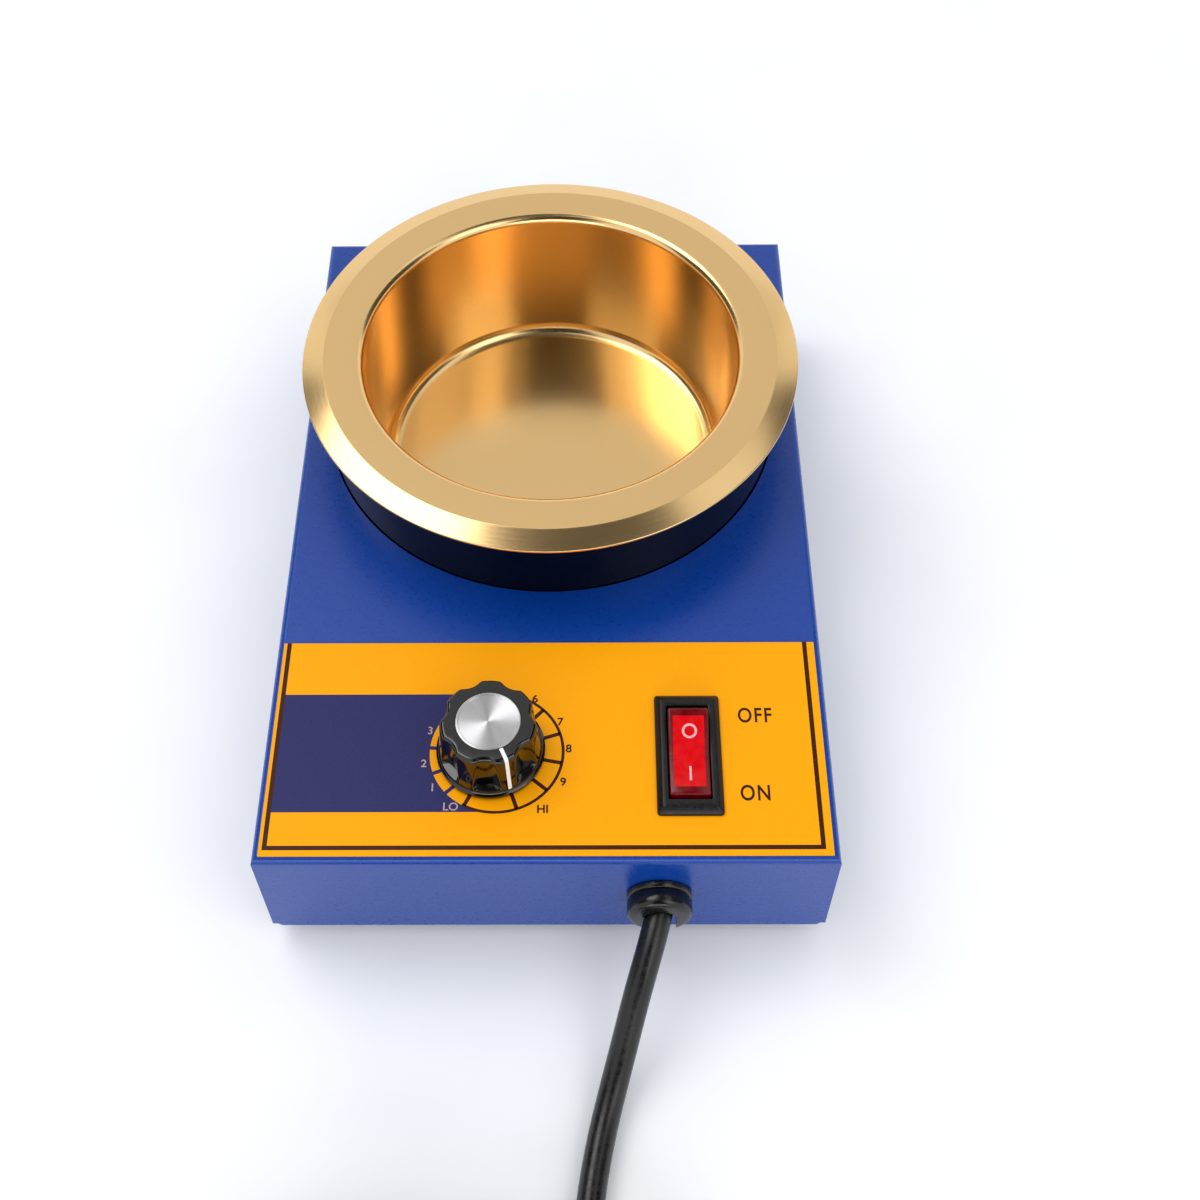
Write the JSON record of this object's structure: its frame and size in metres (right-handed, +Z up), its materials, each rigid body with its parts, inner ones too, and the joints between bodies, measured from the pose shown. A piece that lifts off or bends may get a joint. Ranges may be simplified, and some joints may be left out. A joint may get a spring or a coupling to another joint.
{
  "type": "solder pot",
  "caption": "Bench-top solder pot with a heated, flanged crucible on a low sheet-metal case, and a control panel with a temperature dial and a rocker switch.",
  "frame": {"origin": "on the bench, under the centre of the case; the feet stand on Z = 0", "axes": "+X to the right and +Y to the back, seen from the control panel; +Z up"},
  "size_m": [0.1435, 0.4355, 0.0676],
  "materials": {
    "blue_paint": "fine textured enamel, satin",
    "black_enamel": "gloss baked enamel",
    "gold_metal": "spun and heat tinted gold",
    "zinc_steel": "zinc plated",
    "heater_steel": "rolled, slightly blued",
    "insulation": "fibre board, matt",
    "yellow_film": "printed polyester film, satin",
    "knob_black": "moulded, gloss",
    "spun_aluminium": "spun, bright",
    "pointer_white": "filled line",
    "switch_black": "moulded, satin gloss",
    "rocker_red": "translucent, moulded",
    "brass": "tin-bright edges",
    "rubber_black": "moulded, matt",
    "cord_black": "extruded, satin",
    "nylon_black": "moulded, satin",
    "board_green": "lacquered laminate",
    "epoxy_black": "moulded, matt",
    "capacitor_yellow": "box, gloss",
    "copper_winding": "lacquered copper on a ferrite ring",
    "terminal_green": "moulded, satin"
  },
  "bodies": {
    "case": {"cover": "blue_paint", "base_plate": "blue_paint", "base_screws": "zinc_steel", "foot_front_left": "rubber_black", "foot_front_right": "rubber_black", "foot_rear_left": "rubber_black", "foot_rear_right": "rubber_black", "foot_screws": "zinc_steel", "foot_nuts": "zinc_steel", "heater_housing": "black_enamel", "housing_spacers": "zinc_steel", "housing_screws": "zinc_steel", "housing_nuts": "zinc_steel", "insulation_disc": "insulation", "insulation_sleeve": "insulation", "band_heater": "heater_steel", "clamp_screw": "zinc_steel", "clamp_nut": "zinc_steel", "crucible": "gold_metal", "panel_overlay": "yellow_film", "potentiometer": "zinc_steel", "potentiometer_washer": "zinc_steel", "potentiometer_nut": "zinc_steel", "switch_housing": "switch_black", "switch_terminals": "brass", "control_board": "board_green", "board_spacers": "zinc_steel", "board_screws": "zinc_steel", "board_nuts": "zinc_steel", "heat_sink": "spun_aluminium", "triac": "epoxy_black", "film_capacitor": "capacitor_yellow", "choke": "copper_winding", "terminal_block": "terminal_green", "earth_screw": "zinc_steel", "earth_tag": "brass", "earth_nut": "zinc_steel", "strain_relief": "nylon_black", "power_cord": "cord_black", "cord_coil": "cord_black", "cord_tail": "cord_black", "coil_tie": "nylon_black", "plug_body": "cord_black", "plug_pins": "brass"},
    "knob": {"control_shaft": "zinc_steel", "knob_body": "knob_black", "knob_inlay": "spun_aluminium", "knob_pointer": "pointer_white", "knob_set_screw": "zinc_steel"},
    "rocker": {"rocker": "rocker_red"}
  },
  "joints": [
    {"name": "knob_turn", "type": "hinge", "parent": "case", "child": "knob", "pos_m": [-0.0134, -0.0732, 0.0428], "axis": [0, 0, 1], "range_deg": [0, 313]},
    {"name": "rocker_tilt", "type": "hinge", "parent": "case", "child": "rocker", "pos_m": [0.0338, -0.07425, 0.0404], "axis": [1, 0, 0], "range_deg": [-18, 0]}
  ]
}
